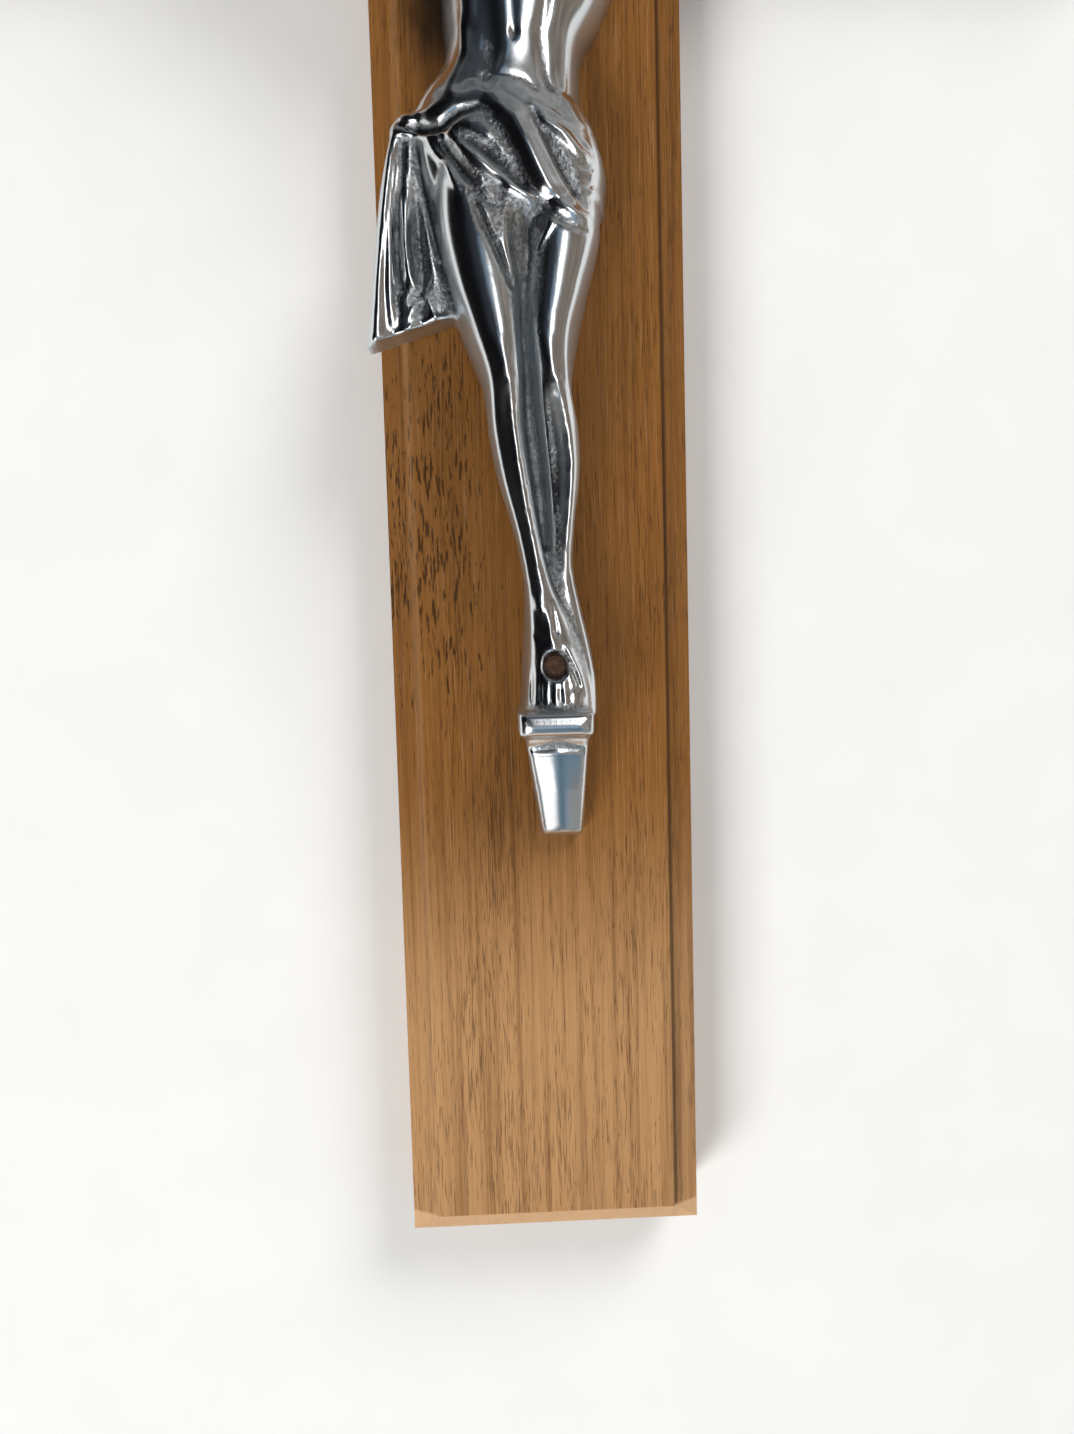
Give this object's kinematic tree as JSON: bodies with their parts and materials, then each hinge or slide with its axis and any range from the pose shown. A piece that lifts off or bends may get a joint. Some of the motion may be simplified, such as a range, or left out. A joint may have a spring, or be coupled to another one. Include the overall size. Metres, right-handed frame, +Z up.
{
  "type": "wall crucifix",
  "caption": "Wall crucifix: halved wooden cross with raised, bevelled panels carrying a polished cast-metal figure on a footrest, nailed through hands and feet.",
  "frame": {"origin": "centre of the hanging hole's mouth, on the flat back of the stem", "axes": "+Z up along the stem, +Y out of the flat back towards the wall, so the figure faces -Y and +X is to the viewer's right"},
  "size_m": [0.2666, 0.0462, 0.4445],
  "materials": {
    "wood": "open-pored brown hardwood, thin worn oil",
    "cast_metal": "cast, polished on the high parts, rough grey in the recesses",
    "nail_metal": "brown rusted",
    "screw_metal": "dull"
  },
  "bodies": {
    "root": {"stem": "wood", "crossbar": "wood", "corpus": "cast_metal", "foot_nail": "nail_metal", "right_hand_nail": "nail_metal", "left_hand_nail": "nail_metal", "upper_lap_screw": "screw_metal", "lower_lap_screw": "screw_metal"}
  },
  "joints": []
}
